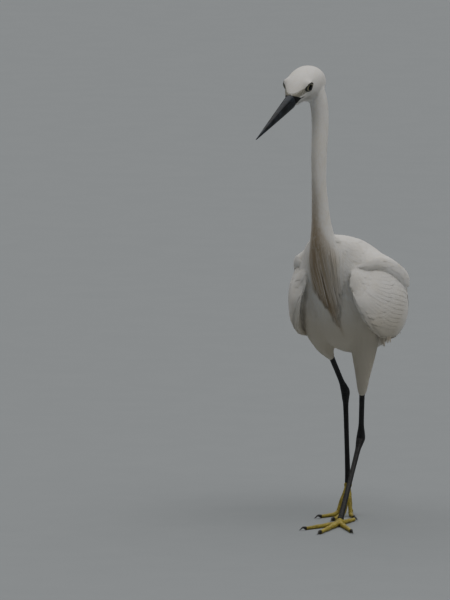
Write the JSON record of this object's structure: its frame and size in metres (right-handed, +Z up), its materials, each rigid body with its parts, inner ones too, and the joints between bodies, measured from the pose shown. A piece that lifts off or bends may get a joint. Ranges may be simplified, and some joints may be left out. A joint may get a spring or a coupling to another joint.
{
  "type": "little egret",
  "caption": "Life-size still model of a little egret wading: white body, long upright neck, dagger bill, dark legs and yellow feet, resting on its feet.",
  "frame": {"origin": "middle of the bird's bounding box, on the floor that its feet rest on", "axes": "+Z up, the bird faces -Y, +X is the bird's left side"},
  "size_m": [0.1148, 0.3708, 0.467],
  "materials": {
    "plumage": "matte",
    "bill": "satin",
    "eye": "gloss",
    "leg": "satin",
    "foot": "satin",
    "claw": "satin"
  },
  "bodies": {
    "root": {"bill_upper": "bill", "bill_lower": "bill", "head": "plumage", "eye_left": "eye", "eye_right": "eye", "neck_upper": "plumage", "neck_lower": "plumage", "torso": "plumage", "thigh_left": "plumage", "thigh_right": "plumage", "tail": "plumage", "wing_left": "plumage", "wing_right": "plumage", "shank_left": "leg", "tarsus_left": "leg", "claw_left_middle": "claw", "claw_left_outer": "claw", "claw_left_inner": "claw", "claw_left_hind": "claw", "foot_left": "foot", "shank_right": "leg", "tarsus_right": "leg", "claw_right_middle": "claw", "claw_right_outer": "claw", "claw_right_inner": "claw", "claw_right_hind": "claw", "foot_right": "foot"}
  },
  "joints": []
}
